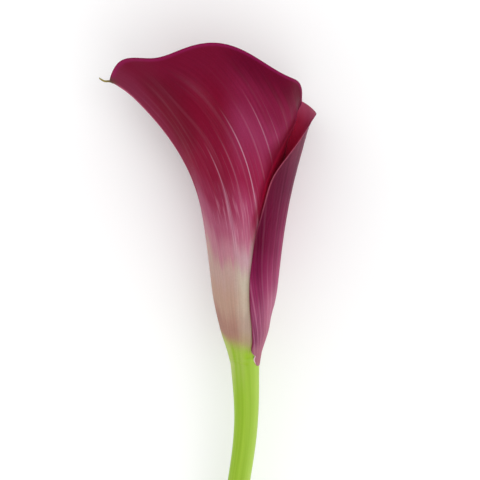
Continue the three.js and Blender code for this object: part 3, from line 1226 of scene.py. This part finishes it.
@dataclass
class Spathe:
    """The rolled spathe: one thin blade with an outside, an inside and a rounded edge."""

    blade: Blade
    lie: Lie
    columns: tuple[int, int, int] = (120, 68, 82)
    tip_range: tuple[float, float] = (-30, 40)
    rows: Stations = ((0, 0), (26, 0.08), (120, 0.93), (140, 1))
    ground_blend: float = 0.9
    edge_radius: float = 0.14
    edge_steps: int = 2
    edge_angle: float = 60

    def angle_at(self, u: Array, v: Array) -> Array:
        """Work out the blade angle of grid points: their columns are closest at the tip.

        Args:
            u: Their shares of the way from the flap's margin to the tucked one.
            v: Their shares of the way up the grid.

        Returns:
            Angles in degrees.
        """
        outer, tip, inner = self.columns
        column = u * (outer + tip + inner)
        share = self.share_at(u, v)
        low, high = self.tip_range
        flap, tucked = self.blade.flap_angle(share), self.blade.tucked_angle(share)
        first = flap + (low - flap) * column / outer
        middle = low + (high - low) * (column - outer) / tip
        last = high + (tucked - high) * (column - outer - tip) / inner
        return np.where(column <= outer, first, np.where(column <= outer + tip, middle, last))

    def share_at(self, u: Array, v: Array) -> Array:
        """Return the blade share of a grid point: its rows are closest at the foot and the lip."""
        rows = np.array(self.rows)
        return np.interp(v * rows[-1, 0], rows[:, 0], rows[:, 1])

    def surface(self, u: Array, v: Array) -> Array:
        """Lay the outer face, pressed level where it meets the surface below.

        Args:
            u: The points' shares of the way across the grid.
            v: Their shares of the way up it.

        Returns:
            Places in metres.
        """
        points = self.lie.place(self.blade.outer(self.angle_at(u, v), self.share_at(u, v)))
        z, blend = points[:, 2], self.ground_blend * MM
        points[:, 2] = (z + np.sqrt(z * z + blend * blend)) / 2
        return points

    def _over_blade(self, value: Shape) -> Shape:
        """Turn a function of angle and share into one of the grid's u and v."""
        return lambda u, v: value(self.angle_at(u, v), self.share_at(u, v))

    def _give_wall(self, piece: bpy.types.Object) -> None:
        """Add what gives the blade its wall and rounds its edge.

        Args:
            piece: The wrapped blade, which stores the wall at each point.
        """
        walls = np.empty(len(piece.data.vertices))
        piece.data.attributes["wall"].data.foreach_get("value", walls)
        group = piece.vertex_groups.new(name="wall_share")
        for index, wall in enumerate(walls / self.blade.wall):
            group.add([index], float(wall), "REPLACE")
        solid = piece.modifiers.new("wall", "SOLIDIFY")
        solid.thickness = self.blade.wall * MM
        solid.offset = -1
        solid.vertex_group = group.name
        solid.material_offset = Face.INSIDE.value
        solid.material_offset_rim = Face.EDGE.value
        rounding = piece.modifiers.new("edge", "BEVEL")
        rounding.width = self.edge_radius * MM
        rounding.segments = self.edge_steps
        rounding.limit_method = "ANGLE"
        rounding.angle_limit = math.radians(self.edge_angle)

    def build(self) -> bpy.types.Object:
        """Wrap the blade, and give it its wall.

        Returns:
            The piece, whose modifiers are live.
        """
        of_blade = {
            "height": self.blade.height,
            "margin": self.blade.to_margin,
            "across": lambda angle, share: np.sin(np.radians(angle - 90)),
            "upward": lambda angle, share: np.cos(np.radians(angle - 90)),
            "shade": self.blade.in_shade,
            "wall": self.blade.thickness,
        }
        marks = {"angle": self.angle_at, "share": self.share_at}
        marks |= {name: self._over_blade(value) for name, value in of_blade.items()}
        piece = wrapped_grid("spathe_blade", sum(self.columns), int(self.rows[-1][0]), self.surface, marks)
        self._give_wall(piece)
        return piece

    def dress(self, piece: bpy.types.Object, groups: Groups) -> None:
        """Give each face its finish and bake the wall into the mesh.

        Args:
            piece: The built piece.
            groups: The shared node groups.
        """
        finishes = {
            Face.OUTSIDE: BladeFinish(groups), Face.INSIDE: LiningFinish(groups), Face.EDGE: EdgeFinish(),
        }
        for face in Face:
            piece.data.materials.append(finishes[face].material())
        bpy.context.view_layer.objects.active = piece
        for modifier in list(piece.modifiers):
            bpy.ops.object.modifier_apply(modifier=modifier.name)
        bpy.ops.object.shade_smooth()


def turn_at(u: Array, v: Array) -> Array:
    """Return how far round from the top a tube's point is."""
    return 2 * np.pi * (u - 0.5)


def tube_along(centres: Shape, radii: Shape, lie: Lie) -> Shape:
    """Make the shape of a tube along a bent line.

    Args:
        centres: Gives the line's points in the flower's own frame.
        radii: Gives the tube's radius.
        lie: How the flower lies.

    Returns:
        A shape for wrapped_grid, whose u runs once round the line from underneath.
    """
    step = 0.002

    def shape(u: Array, v: Array) -> Array:
        """Lay points of the tube.

        Args:
            u: Their shares of the way round.
            v: Their shares of the way along.

        Returns:
            Places in metres.
        """
        ahead = centres(u, np.minimum(v + step, 1)) - centres(u, np.maximum(v - step, 0))
        ahead /= np.linalg.norm(ahead, axis=-1, keepdims=True)
        right = np.cross(ahead, np.broadcast_to((0.0, 0.0, 1.0), ahead.shape))
        right /= np.linalg.norm(right, axis=-1, keepdims=True)
        up = np.cross(right, ahead)
        around = turn_at(u, v)
        radius = radii(u, v)
        out = right * (radius * np.sin(around))[:, None] + up * (radius * np.cos(around))[:, None]
        return lie.place(centres(u, v) + out)

    return shape


def close_end(
    piece: bpy.types.Object, end: End, rings: int = 0, slot: int = 0, ring_width: float = 0.25
) -> None:
    """Close one open end of a tube that runs along Y.

    Args:
        piece: The tube.
        end: Which end is closed.
        rings: How many times the new face is inset, so that it shades flat.
        slot: The material slot of the new faces.
        ring_width: How wide each inset is, in millimetres.
    """
    mesh = piece.data
    with editing(piece):
        bpy.ops.mesh.select_mode(type="EDGE")
        bpy.ops.mesh.select_all(action="DESELECT")
        others = {"use_wire": False, "use_multi_face": False, "use_non_contiguous": False, "use_verts": False}
        bpy.ops.mesh.select_non_manifold(extend=False, use_boundary=True, **others)
    middle = sum(vertex.co.y for vertex in mesh.vertices) / len(mesh.vertices)
    for edge in mesh.edges:
        side = mesh.vertices[edge.vertices[0]].co.y - middle
        edge.select = edge.select and side * end.value > 0
    for vertex in mesh.vertices:
        vertex.select = False
    with editing(piece):
        bpy.ops.mesh.edge_face_add()
        piece.active_material_index = slot
        bpy.ops.object.material_slot_assign()
        for _ in range(rings):
            bpy.ops.mesh.inset(thickness=ring_width * MM, depth=0)
        bpy.ops.mesh.normals_make_consistent(inside=False)
        bpy.ops.mesh.select_mode(type="VERT")


@dataclass(frozen=True)
class TailFinish:
    """The dry thread at the tip."""

    root: Rgb = (98, 84, 52)
    end: Rgb = (138, 124, 62)
    to_end: Range = (0.15, 0.6)
    uneven: float = 0.5
    grain: Speckle = Speckle(1800)
    bumps: Bumps = Bumps(0.5, 0.15)
    surface: Surface = Surface(roughness=0.6)

    def material(self) -> bpy.types.Material:
        """Build the material.

        Returns:
            The thread's material.
        """
        material, graph = new_material("spathe_tail")
        grain = self.grain.noise(graph)
        place = graph.attributes("along")["along"] + grain.around_zero(self.uneven)
        colour = graph.mix(self.root, self.end, place.within(self.to_end))
        self.surface.dress(graph, colour, Normal=self.bumps.normal(grain))
        return material


@dataclass
class Tail:
    """The dry, curled thread that ends the spathe's tip: its stations are places and radii along it."""

    lie: Lie
    stations: Stations = (
        (-47, 101, 0, 0.44), (-48.6, 101.5, 0, 0.4), (-50, 101.5, 0.1, 0.35), (-51.2, 101.9, 0.2, 0.3),
        (-52.3, 102.8, 0.3, 0.22),
    )
    wrinkle: float = 0.12
    wrinkle_count: int = 3
    wrinkle_twist: float = 9
    wrinkles_from: Range = (0.2, 0.5)
    end_taper: float = 0.96
    end_from: Range = (0.9, 1.0)
    sides: int = 14
    rows: int = 40

    def build(self) -> bpy.types.Object:
        """Wrap the thread round its line, shrivelled, and round it off at the end.

        Returns:
            The piece.
        """
        last = len(self.stations) - 1
        rows = tuple((k / last, *station) for k, station in enumerate(self.stations))
        *lines, radius = (Spline(rows, column) for column in (1, 2, 3, 4))

        def centres(u: Array, v: Array) -> Array:
            """Return the thread's line."""
            return np.stack([line(v) for line in lines], axis=-1)

        def radii(u: Array, v: Array) -> Array:
            """Work out the thread's radius.

            Args:
                u: The points' shares of the way round.
                v: Their shares of the way along.

            Returns:
                Radii in millimetres.
            """
            waves = np.sin(2 * np.pi * self.wrinkle_count * u + self.wrinkle_twist * v)
            wrinkled = 1 + self.wrinkle * waves * within(self.wrinkles_from, v)
            rounded = np.sqrt(1 - self.end_taper * within(self.end_from, v) ** 2)
            return radius(v) * wrinkled * rounded

        shape, marks = tube_along(centres, radii, self.lie), {"along": lambda u, v: v}
        return wrapped_grid("spathe_tail", self.sides, self.rows, shape, marks, closed=True)

    def dress(self, piece: bpy.types.Object) -> None:
        """Give the thread its finish and close its ends.

        Args:
            piece: The built piece.
        """
        piece.data.materials.append(TailFinish().material())
        for end in End:
            close_end(piece, end)


@dataclass(frozen=True)
class StemFinish:
    """The stem's smooth green skin."""

    groups: Groups
    skin: Speckle = Speckle(1400)
    skin_relief: float = 0.2
    bumps: Bumps = Bumps(0.2, 0.15)
    surface: Surface = Surface(
        roughness=0.38, specular=0.12, subsurface=0.25, subsurface_radius=(0.5, 1.0, 0.25)
    )

    def material(self) -> bpy.types.Material:
        """Build the material.

        Returns:
            The stem's material.
        """
        material, graph = new_material("stem_skin")
        green = self.groups.green(graph)
        relief = green["relief"] + self.skin.noise(graph) * self.skin_relief
        self.surface.dress(graph, green["colour"], Normal=self.bumps.normal(relief))
        return material


@dataclass(frozen=True)
class CutFinish:
    """The pale, wet cut across the stem, with its strands."""

    flesh: Rgb = (204, 214, 158)
    strand: Rgb = (150, 174, 92)
    strand_scale: float = 1300
    strand_edge: Range = (0.42, 0.2)
    strand_relief: float = 0.6
    mottle: Speckle = Speckle(900, 2)
    mottle_tone: float = 0.25
    bumps: Bumps = Bumps(0.5, 0.2)
    surface: Surface = Surface(roughness=0.32, specular=0.35, subsurface=0.3)

    def material(self) -> bpy.types.Material:
        """Build the material.

        Returns:
            The cut's material.
        """
        material, graph = new_material("stem_cut")
        cells = {"Vector": graph.object_place(), "Scale": self.strand_scale}
        strands = graph.value("TexVoronoi", cells, "Distance").within(self.strand_edge)
        colour = graph.mix(self.flesh, self.strand, strands)
        colour = colour.toned(self.mottle.noise(graph), self.mottle_tone)
        self.surface.dress(graph, colour, Normal=self.bumps.normal(strands * self.strand_relief))
        return material


@dataclass
class Stem:
    """The stem, which bends and sags to the surface, and its neck inside the spathe's foot."""

    lie: Lie
    end_y: float = -145
    neck_y: float = -12
    top_y: float = 7.5
    rows_below_neck: float = 0.7
    sag: float = 7.6
    centre_x: Stations = (
        (-145, -18.8), (-90, -9.8), (-41.8, -1.85), (-27.7, 0.07), (-13, 0.64), (0, 0.13), (8, 0),
    )
    radius: Stations = (
        (-145, 3.9), (-42, 4.04), (-20, 4.36), (-13, 4.6), (-6, 4.9), (-2.5, 5.08), (-1, 5.18), (0.4, 5.36),
        (1.6, 5.6), (2.6, 5.0), (4, 3.6), (7.5, 3.2),
    )
    rib_count: int = 17
    rib_height: float = 0.012
    ribs_end: Range = (-8, -1)
    groove_depth: float = 0.14
    groove_along: Range = (-24, -12, -3, 1)
    groove_turn: float = 0.12
    groove_width: float = 0.14
    sides: int = 102
    rows: int = 200

    def y_at(self, u: Array, v: Array) -> Array:
        """Return the height of a grid point above the spathe's foot: the rows are closest at the neck."""
        return np.interp(v, (0, self.rows_below_neck, 1), (self.end_y, self.neck_y, self.top_y))

    def _groove(self, turn: Array, y: Array) -> Array:
        """Return the depth of the shallow groove below the spathe's foot."""
        depth = self.groove_depth * within(self.groove_along, y)
        return depth * np.exp(-(((turn - self.groove_turn) / self.groove_width) ** 2))

    def build(self) -> bpy.types.Object:
        """Wrap the stem's skin round its line.

        Returns:
            The piece.
        """
        x_at, radius_at = Spline(self.centre_x), Spline(self.radius)

        def centres(u: Array, v: Array) -> Array:
            """Work out the stem's line, which hangs lower towards the cut.

            Args:
                u: The points' shares of the way round.
                v: Their shares of the way along.

            Returns:
                Places in the flower's own frame.
            """
            y = self.y_at(u, v)
            sag = self.sag * (np.minimum(y, 0) / self.end_y) ** 2
            return np.stack((x_at(y), y, -sag), axis=-1)

        def radii(u: Array, v: Array) -> Array:
            """Work out the stem's radius, with its low ribs and its groove.

            Args:
                u: The points' shares of the way round.
                v: Their shares of the way along.

            Returns:
                Radii in millimetres.
            """
            y, turn = self.y_at(u, v), turn_at(u, v)
            ribs = self.rib_height * np.cos(self.rib_count * turn) * (1 - within(self.ribs_end, y))
            return radius_at(y) + ribs - self._groove(turn, y)

        marks = {
            "across": lambda u, v: np.sin(turn_at(u, v)),
            "upward": lambda u, v: np.cos(turn_at(u, v)),
            "height": self.y_at,
        }
        shape = tube_along(centres, radii, self.lie)
        return wrapped_grid("stem_stalk", self.sides, self.rows, shape, marks, closed=True)

    def dress(self, piece: bpy.types.Object, groups: Groups) -> None:
        """Give the stem its finishes and close its ends.

        Args:
            piece: The built piece.
            groups: The shared node groups.
        """
        piece.data.materials.append(StemFinish(groups).material())
        piece.data.materials.append(CutFinish().material())
        close_end(piece, End.LOW, rings=2, slot=1)
        close_end(piece, End.HIGH, rings=1)


@dataclass(frozen=True)
class FloretFinish:
    """One kind of floret on the spadix: darker between them and paler on top."""

    name: str
    low: Rgb
    high: Rgb
    surface: Surface
    to_high: Range = (0.15, 0.9)
    mottle: Speckle = Speckle(700)
    mottle_shift: float = 0.6
    grain: Speckle = Speckle(5200, 2)
    bumps: Bumps = Bumps(0.5, 0.1)

    def material(self) -> bpy.types.Material:
        """Build the material.

        Returns:
            The florets' material.
        """
        material, graph = new_material(self.name)
        mottle = self.mottle.noise(graph).around_zero(self.mottle_shift)
        tone = graph.attributes("raised")["raised"] + mottle
        colour = graph.mix(self.low, self.high, tone.within(self.to_high))
        self.surface.dress(graph, colour, Normal=self.bumps.normal(self.grain.noise(graph)))
        return material


@dataclass(frozen=True)
class Floret:
    """The shape of one floret, which stands along Z at the origin, a unit wide."""

    height: float
    roundness: float
    dimple: float = 0.0
    style: float = 0.0
    style_taper: float = 0.8
    cuts: int = 2
    top_facing: float = 0.9
    top_reach: float = 0.1

    def _shape_top(self) -> None:
        """Dimple the selected top, or draw a short style out of it."""
        bpy.ops.mesh.select_mode(type="FACE")
        if self.dimple:
            bpy.ops.transform.translate(value=(0, 0, -self.dimple))
        if self.style:
            bpy.ops.mesh.extrude_region_move(TRANSFORM_OT_translate={"value": (0, 0, self.style)})
            bpy.ops.transform.resize(value=(self.style_taper,) * 3)
        bpy.ops.mesh.select_mode(type="VERT")

    def build(self) -> bpy.types.Object:
        """Shape a block: swell it, then work on the face in the middle of its top.

        Returns:
            The floret, which stores how high each of its points is.
        """
        piece = added(bpy.ops.mesh.primitive_cube_add, "floret", size=1)
        with editing(piece):
            bpy.ops.mesh.select_all(action="SELECT")
            bpy.ops.mesh.subdivide(number_cuts=self.cuts)
            bpy.ops.transform.tosphere(value=self.roundness)
        mesh = piece.data
        for part in (*mesh.vertices, *mesh.edges):
            part.select = False
        for face in mesh.polygons:
            face.select = face.normal.z > self.top_facing and face.center.xy.length < self.top_reach
        with editing(piece):
            self._shape_top()
        raised = mesh.attributes.new("raised", "FLOAT", "POINT")
        raised.data.foreach_set("value", [vertex.co.z + 0.5 for vertex in mesh.vertices])
        bpy.ops.object.shade_smooth()
        return piece


@dataclass
class Cob:
    """A stretch of the spadix: a core and the florets that cover it in a golden spiral."""

    name: str
    lie: Lie
    floret: Floret
    finish: FloretFinish
    from_y: float
    to_y: float
    core_radius: float
    spacing: float
    tip_rounding: float
    seed: int
    core_sides: int = 24
    core_rows: int = 30
    least_radius: float = 0.02
    area_steps: int = 4000
    spin: float = 0.6
    widths: tuple[float, float] = (0.95, 1.18)
    heights: tuple[float, float] = (0.9, 1.1)

    def radius_at(self, y: Array) -> Array:
        """Return the core's radius, rounded off towards the top."""
        left = np.clip(1 - (self.to_y - y) / self.tip_rounding, 0, 1)
        return self.core_radius * np.sqrt(np.clip(1 - left**2, 0, 1))

    def core(self) -> bpy.types.Object:
        """Wrap the core.

        Returns:
            The core as a piece.
        """

        def shape(u: Array, v: Array) -> Array:
            """Return laid points of the core."""
            y = self.from_y + (self.to_y - self.from_y) * np.sin(v * np.pi / 2)
            return self.lie.place(spoke(np.maximum(self.radius_at(y), self.least_radius), turn_at(u, v), y))

        marks = {"raised": lambda u, v: 0 * u}
        return wrapped_grid(self.name + "_core", self.core_sides, self.core_rows, shape, marks, closed=True)

    def spots(self) -> list[tuple[float, float, float]]:
        """Spread the florets evenly over the core's area.

        Returns:
            The height, turn and outward lean of each.
        """
        y = np.linspace(self.from_y, self.to_y, self.area_steps + 1)
        radius = self.radius_at(y)
        strips = np.pi * (radius[1:] + radius[:-1]) * np.hypot(np.diff(y), np.diff(radius))
        area = np.concatenate(([0], np.cumsum(strips)))
        count = int(area[-1] / self.spacing**2)
        places = np.interp((np.arange(count) + 0.5) / count * area[-1], area, y)
        leans = np.arctan(np.interp(places, y, -np.gradient(radius, y)))
        turns = np.arange(count) * math.pi * (3 - math.sqrt(5))
        return list(zip(places.tolist(), turns.tolist(), leans.tolist()))

    def _stand(self, y: float, turn: float, lean: float) -> Matrix:
        """Work out how a floret stands on the core.

        Args:
            y: Its height.
            turn: How far round from the top it is.
            lean: How far it leans towards the cob's tip.

        Returns:
            The matrix that moves it there from the origin.
        """
        foot = self.lie.place(spoke(self.radius_at(np.array(y)), np.array(turn), np.array(y)))
        out = Vector((math.sin(turn) * math.cos(lean), math.sin(lean), math.cos(turn) * math.cos(lean)))
        turned = Matrix.Rotation(self.lie.tilt, 4, "X") @ out.to_track_quat("Z", "Y").to_matrix().to_4x4()
        return Matrix.Translation(Vector(foot)) @ turned

    def build(self) -> bpy.types.Object:
        """Model one floret, copy it over the core and join all into one piece.

        Returns:
            The piece.
        """
        core, floret = self.core(), self.floret.build()
        chance = np.random.default_rng(self.seed)
        copies = []
        for spot in self.spots():
            spin = Matrix.Rotation(float(chance.uniform(-self.spin, self.spin)), 4, "Z")
            width = self.spacing * float(chance.uniform(*self.widths)) * MM
            height = self.floret.height * float(chance.uniform(*self.heights)) * MM
            copy = floret.copy()
            copy.data = floret.data.copy()
            copy.data.transform(self._stand(*spot) @ spin @ Matrix.Diagonal((width, width, height, 1)))
            bpy.context.collection.objects.link(copy)
            copies.append(copy)
        bpy.data.objects.remove(floret)
        deselect()
        for part in (*copies, core):
            part.select_set(True)
        bpy.context.view_layer.objects.active = core
        bpy.ops.object.join()
        core.name = self.name
        core.data.name = self.name
        return core

    def dress(self, piece: bpy.types.Object) -> None:
        """Give the florets their finish and close the ends of their core.

        Args:
            piece: The built piece.
        """
        piece.data.materials.append(self.finish.material())
        for end in End:
            close_end(piece, end)


@dataclass
class Spadix:
    """The cob inside the funnel: pollen-bearing florets above, ovaries below."""

    lie: Lie

    def male(self) -> Cob:
        """Size the upper stretch.

        Returns:
            The stretch with the pollen-bearing florets.
        """
        return Cob(
            name="spadix_anthers", lie=self.lie,
            floret=Floret(height=0.95, roundness=0.65, dimple=0.1),
            finish=FloretFinish("anthers", (170, 108, 16), (242, 198, 62), Surface(roughness=0.8, sheen=0.2)),
            from_y=COB_JOINT, to_y=67.6, core_radius=3.05, spacing=1.05, tip_rounding=9, seed=3,
        )

    def female(self) -> Cob:
        """Size the lower stretch.

        Returns:
            The stretch with the ovaries.
        """
        return Cob(
            name="spadix_ovaries", lie=self.lie,
            floret=Floret(height=1.3, roundness=0.9, style=0.25),
            finish=FloretFinish("ovaries", (120, 142, 52), (206, 212, 150), Surface(subsurface=0.2)),
            from_y=7.6, to_y=COB_JOINT, core_radius=2.9, spacing=1.8, tip_rounding=0.01, seed=5,
        )


@dataclass(frozen=True)
class Sun:
    """A broad, distant light.

    Its source is the way that it lies, seen from the flower, and its spread is how wide it looks from there,
    in degrees. Its strength is in watts for each square metre.
    """

    name: str
    source: tuple[float, float, float]
    spread: float
    strength: float

    def shine(self) -> None:
        """Add the light."""
        way = Vector(self.source).normalized()
        sun = added(bpy.ops.object.light_add, self.name, type="SUN", location=way)
        sun.data.angle = math.radians(self.spread)
        sun.data.energy = self.strength
        sun.rotation_euler = (-way).to_track_quat("-Z", "Y").to_euler()


@dataclass
class Studio:
    """The pale floor, the soft lights and the camera above."""

    camera_height: float = 1.0
    frame_width: float = 172.8
    frame_centre: tuple[float, float] = (-1.656, 44.28)
    focus_above_axis: float = 4.0
    sensor: float = 36.0
    floor_size: float = 4.0
    floor_drop: float = 0.05
    floor_paint: Rgb = (247, 247, 247)
    floor_surface: Surface = Surface(roughness=0.8)
    sky_strength: float = 1.22
    sky_levels: Stations = ((0.0, 0.95), (0.35, 0.85), (0.8, 0.62), (1.0, 0.55))
    suns: tuple[Sun, ...] = (
        Sun("key", (0.35, -0.25, 0.9), 60, 0.9),
        Sun("fill", (-0.6, 0.3, 0.7), 80, 0.35),
    )

    def floor(self) -> None:
        """Lay the floor."""
        place = (0, 0, -self.floor_drop * MM)
        floor = added(bpy.ops.mesh.primitive_plane_add, "floor", size=self.floor_size, location=place)
        material, graph = new_material("floor_paint")
        self.floor_surface.dress(graph, linear(self.floor_paint))
        floor.data.materials.append(material)

    def sky(self) -> None:
        """Light the scene from all round, paler at the horizon than overhead."""
        world = bpy.data.worlds.new("studio")
        bpy.context.scene.world = world
        world.use_nodes = True
        world.node_tree.nodes.clear()
        graph = Graph(world.node_tree)
        way = graph.value("TexCoord", output="Generated")
        level = graph.profile(graph.value("SeparateXYZ", {0: way}, 2), self.sky_levels)
        graph.node("OutputWorld", {0: graph.value("Background", {0: level, 1: self.sky_strength})})

    def camera(self, lie: Lie) -> None:
        """Look straight down, so that the frame shows the photograph's stretch of flower.

        Args:
            lie: How the flower lies.
        """
        focus = lie.foot_height + self.focus_above_axis
        x, y = self.frame_centre[0] + lie.shift[0], self.frame_centre[1] + lie.shift[1]
        place = (x * MM, y * MM, focus * MM + self.camera_height)
        camera = added(bpy.ops.object.camera_add, "camera", location=place)
        camera.rotation_euler = (0, 0, 0)
        camera.data.sensor_width = self.sensor
        camera.data.lens = self.sensor * self.camera_height / (self.frame_width * MM)
        bpy.context.scene.camera = camera

    def build(self, lie: Lie) -> None:
        """Set up the whole studio.

        Args:
            lie: How the flower lies.
        """
        self.floor()
        self.sky()
        for sun in self.suns:
            sun.shine()
        self.camera(lie)
        bpy.context.scene.view_settings.view_transform = "Standard"


def main() -> None:
    """Build the flower and the studio, and report each piece."""
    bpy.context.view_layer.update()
    lie = Lie.in_frame()
    log.info("flower shifted by %.2f, %.2f mm", *lie.shift)
    groups = Groups.build()

    spathe, tail, stem, spadix = Spathe(Blade(), lie), Tail(lie), Stem(lie), Spadix(lie)
    male, female = spadix.male(), spadix.female()
    blade_piece, tail_piece, stem_piece = spathe.build(), tail.build(), stem.build()
    male_piece, female_piece = male.build(), female.build()
    spathe.dress(blade_piece, groups)
    tail.dress(tail_piece)
    stem.dress(stem_piece, groups)
    male.dress(male_piece)
    female.dress(female_piece)

    standing_for = (
        (blade_piece, ("spathe",), "spathe"),
        (tail_piece, (), "spathe"),
        (stem_piece, ("stem",), "stem"),
        (male_piece, ("spadix_male_flowers",), "male_flowers"),
        (female_piece, ("spadix_female_flowers",), "female_flowers"),
    )
    for piece, nodes, slot in standing_for:
        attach(piece, "root")
        if nodes:
            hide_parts(*nodes)
        log.info("%s: %d faces", piece.name, len(piece.data.polygons))

    Studio().build(lie)
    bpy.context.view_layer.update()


if __name__ == "__main__":
    logging.basicConfig(level=logging.INFO, format="%(name)s: %(message)s")
    main()
